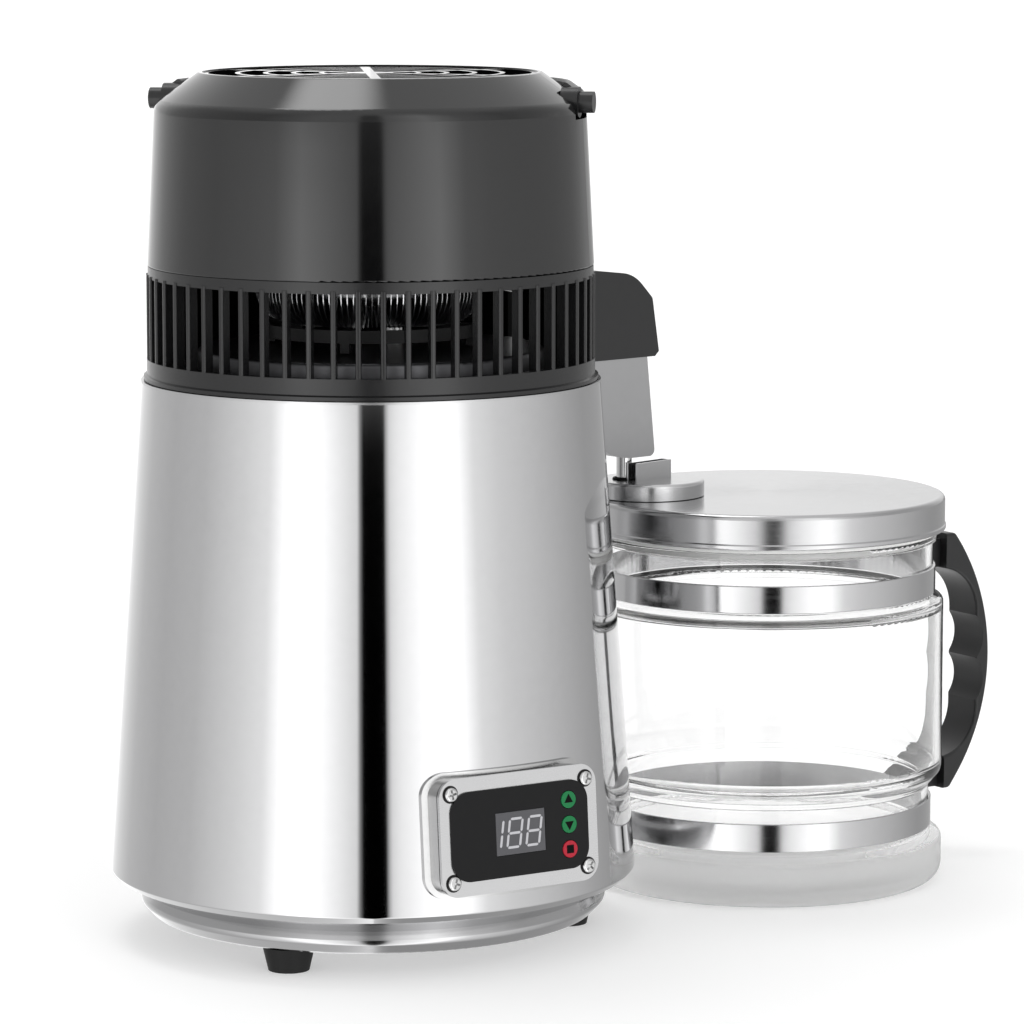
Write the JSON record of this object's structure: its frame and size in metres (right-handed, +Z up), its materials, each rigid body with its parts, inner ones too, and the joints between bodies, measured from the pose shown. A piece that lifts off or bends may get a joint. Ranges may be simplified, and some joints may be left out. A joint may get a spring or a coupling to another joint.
{
  "type": "glass water distiller",
  "caption": "Countertop water distiller: polished conical boiler, black vented fan head with nozzle, glass collecting jug with handle and lid, and a small display panel.",
  "frame": {"origin": "the boiler's axis on the bench, level with the undersides of the feet", "axes": "+Z up along the boiler's axis, +X towards the collecting jug, -Y towards the display's side"},
  "size_m": [0.4508, 0.2403, 0.3763],
  "materials": {
    "shell_steel": "mirror polished",
    "chamber_steel": "satin",
    "tray_steel": "polished",
    "foot_rubber": "matt",
    "heater_aluminium": "cast",
    "element_steel": "heat dulled",
    "thermostat_metal": "satin",
    "inlet_black": "satin",
    "screw_steel": "bright",
    "housing_steel": "satin",
    "plate_steel": "brushed",
    "membrane_black": "satin",
    "display_grey": "satin",
    "board_green": "satin",
    "numeral_light": "lit",
    "key_green": "gloss",
    "key_red": "gloss",
    "louvre_black": "satin",
    "head_black": "high gloss",
    "grille_black": "gloss",
    "fan_black": "satin",
    "motor_metal": "satin",
    "coil_steel": "polished",
    "fin_aluminium": "mill",
    "pan_steel": "satin",
    "silicone": "satin",
    "nozzle_black": "gloss",
    "duct_steel": "polished",
    "spout_steel": "polished",
    "handle_black": "satin",
    "jug_glass": "clear",
    "band_steel": "polished",
    "grip_black": "satin",
    "lid_steel": "satin",
    "filter_steel": "satin"
  },
  "bodies": {
    "boiler": {"outer_shell": "shell_steel", "inner_chamber": "chamber_steel", "base_tray": "tray_steel", "rubber_feet": "foot_rubber", "heater_plate": "heater_aluminium", "heating_element": "element_steel", "thermostat": "thermostat_metal", "mains_inlet": "inlet_black", "inlet_screws": "screw_steel", "display_housing": "housing_steel", "faceplate": "plate_steel", "membrane": "membrane_black", "display_module": "display_grey", "control_board": "board_green", "faceplate_screws": "screw_steel", "display_numerals": "numeral_light"},
    "up_key": {"key_up": "key_green"},
    "down_key": {"key_down": "key_green"},
    "reset_key": {"key_reset": "key_red"},
    "head": {"louvre_ring": "louvre_black", "air_baffle": "louvre_black", "head_shell": "head_black", "fan_inlet": "fan_black", "fan_grille": "grille_black", "fan_frame": "fan_black", "fan_motor": "motor_metal", "condenser_tube": "coil_steel", "condenser_fins": "fin_aluminium", "coil_cradle": "coil_steel", "base_pan": "pan_steel", "boiler_gasket": "silicone", "nozzle_cover": "nozzle_black", "nozzle_duct": "duct_steel", "spout_tube": "spout_steel", "pivot_pegs": "handle_black"},
    "rotor": {"fan_rotor": "fan_black"},
    "handle": {"carry_handle": "handle_black"},
    "jug": {"jug_glass": "jug_glass", "lower_band": "band_steel", "upper_band": "band_steel", "jug_handle": "grip_black"},
    "lid": {"jug_lid": "lid_steel", "lid_gasket": "silicone"},
    "filter": {"filter_cap": "filter_steel", "filter_cup": "filter_steel"}
  },
  "joints": [
    {"name": "head_lift", "type": "slide", "parent": "boiler", "child": "head", "axis": [0, 0, 1], "range_m": [0, 0.12]},
    {"name": "fan_spin", "type": "hinge", "parent": "head", "child": "rotor", "pos_m": [0, 0, 0.35], "axis": [0, 0, 1], "continuous": true},
    {"name": "handle_swing", "type": "hinge", "parent": "head", "child": "handle", "pos_m": [0, 0, 0.364], "axis": [0.7071, -0.7071, 0], "range_deg": [0, 100]},
    {"name": "jug_slide", "type": "slide", "parent": "boiler", "child": "jug", "axis": [1, 0, 0], "range_m": [0, 0.3]},
    {"name": "lid_lift", "type": "slide", "parent": "jug", "child": "lid", "axis": [0, 0, 1], "range_m": [0, 0.018]},
    {"name": "cap_lift", "type": "slide", "parent": "lid", "child": "filter", "axis": [0, 0, 1], "range_m": [0, 0.009]},
    {"name": "up_press", "type": "slide", "parent": "boiler", "child": "up_key", "axis": [0, 0.9974, -0.072], "range_m": [0, 0.0004], "stiffness_N_per_m": 500},
    {"name": "down_press", "type": "slide", "parent": "boiler", "child": "down_key", "axis": [0, 0.9974, -0.072], "range_m": [0, 0.0004], "stiffness_N_per_m": 500},
    {"name": "reset_press", "type": "slide", "parent": "boiler", "child": "reset_key", "axis": [0, 0.9974, -0.072], "range_m": [0, 0.0004], "stiffness_N_per_m": 500}
  ],
  "couplings": [
    {"joint": "lid_lift", "follows": "head_lift", "ratio": 0.15},
    {"joint": "cap_lift", "follows": "head_lift", "ratio": 0.075}
  ]
}
